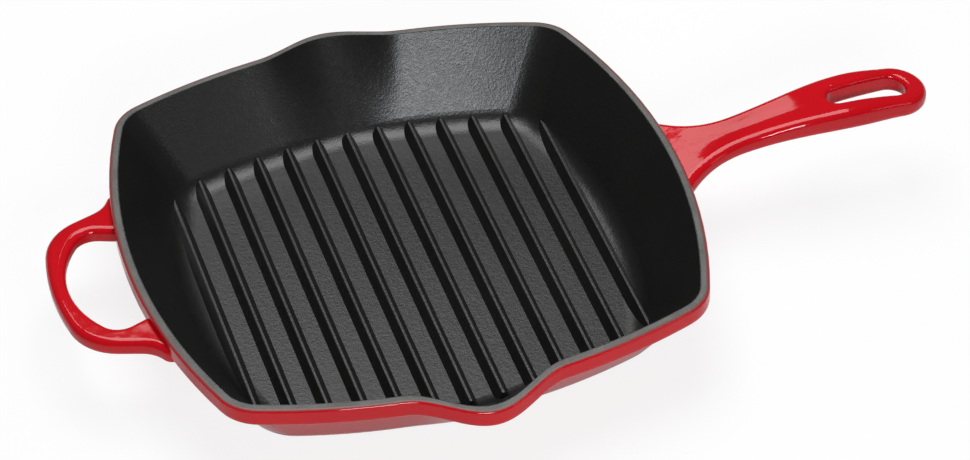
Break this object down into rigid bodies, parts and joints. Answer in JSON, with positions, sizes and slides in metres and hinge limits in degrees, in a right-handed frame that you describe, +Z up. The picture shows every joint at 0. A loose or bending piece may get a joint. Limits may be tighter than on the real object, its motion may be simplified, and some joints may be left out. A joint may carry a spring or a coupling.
{
  "type": "square grill pan",
  "caption": "Square cast iron grill pan with a ribbed floor, two pour spouts, a long handle with a hanging slot and a loop handle opposite.",
  "frame": {"origin": "middle of the base, on the surface the pan stands on", "axes": "+X along the long handle, +Y towards one pour spout, +Z up"},
  "size_m": [0.4238, 0.2876, 0.0531],
  "materials": {
    "iron": "rough, as cast, hidden under the enamel",
    "black_enamel": "satin black enamel",
    "red_enamel": "gloss red enamel",
    "ground_coat": "matte grey enamel ground coat"
  },
  "bodies": {
    "root": {"iron_casting": "iron", "inside_enamel": "black_enamel", "outside_enamel": "red_enamel", "rim_coat": "ground_coat"}
  },
  "joints": []
}
